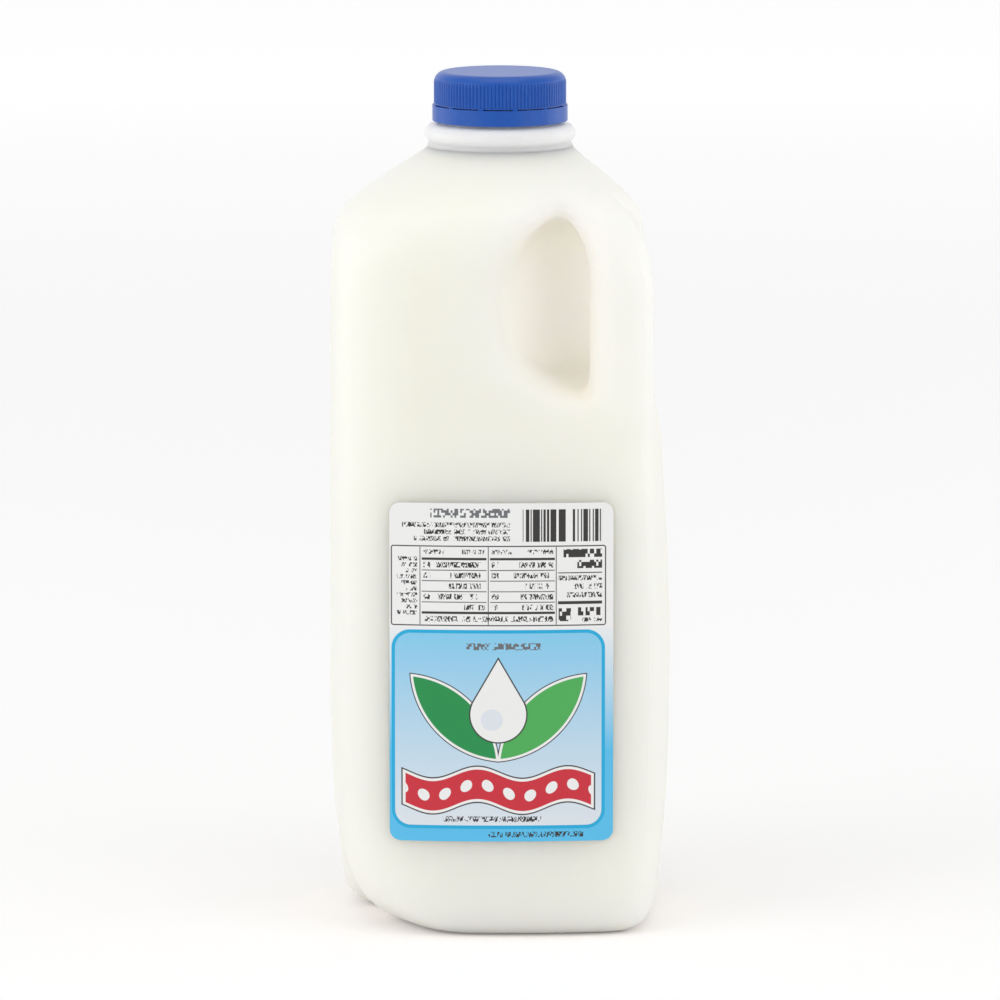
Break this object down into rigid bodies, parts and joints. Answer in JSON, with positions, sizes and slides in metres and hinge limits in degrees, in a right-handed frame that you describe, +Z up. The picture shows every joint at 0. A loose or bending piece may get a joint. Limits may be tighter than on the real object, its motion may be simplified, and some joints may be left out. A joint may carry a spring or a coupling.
{
  "type": "milk jug",
  "caption": "Square plastic jug of milk with a through grip in one corner, a ribbed screw cap with a tamper band, and a curved front label.",
  "frame": {"origin": "middle of the base, on the neck's axis, at the level that the jug stands on", "axes": "+Z up along the neck's axis; +X towards the corner that holds the grip; the grip's gap runs through along Y; the label's wall faces between +X and -Y"},
  "size_m": [0.1231, 0.121, 0.2496],
  "materials": {
    "jug": "satin, translucent",
    "milk": "milk",
    "cap": "satin",
    "label": "printed paper"
  },
  "bodies": {
    "root": {"jug": "jug", "milk": "milk", "cap": "cap", "label": "label"}
  },
  "joints": []
}
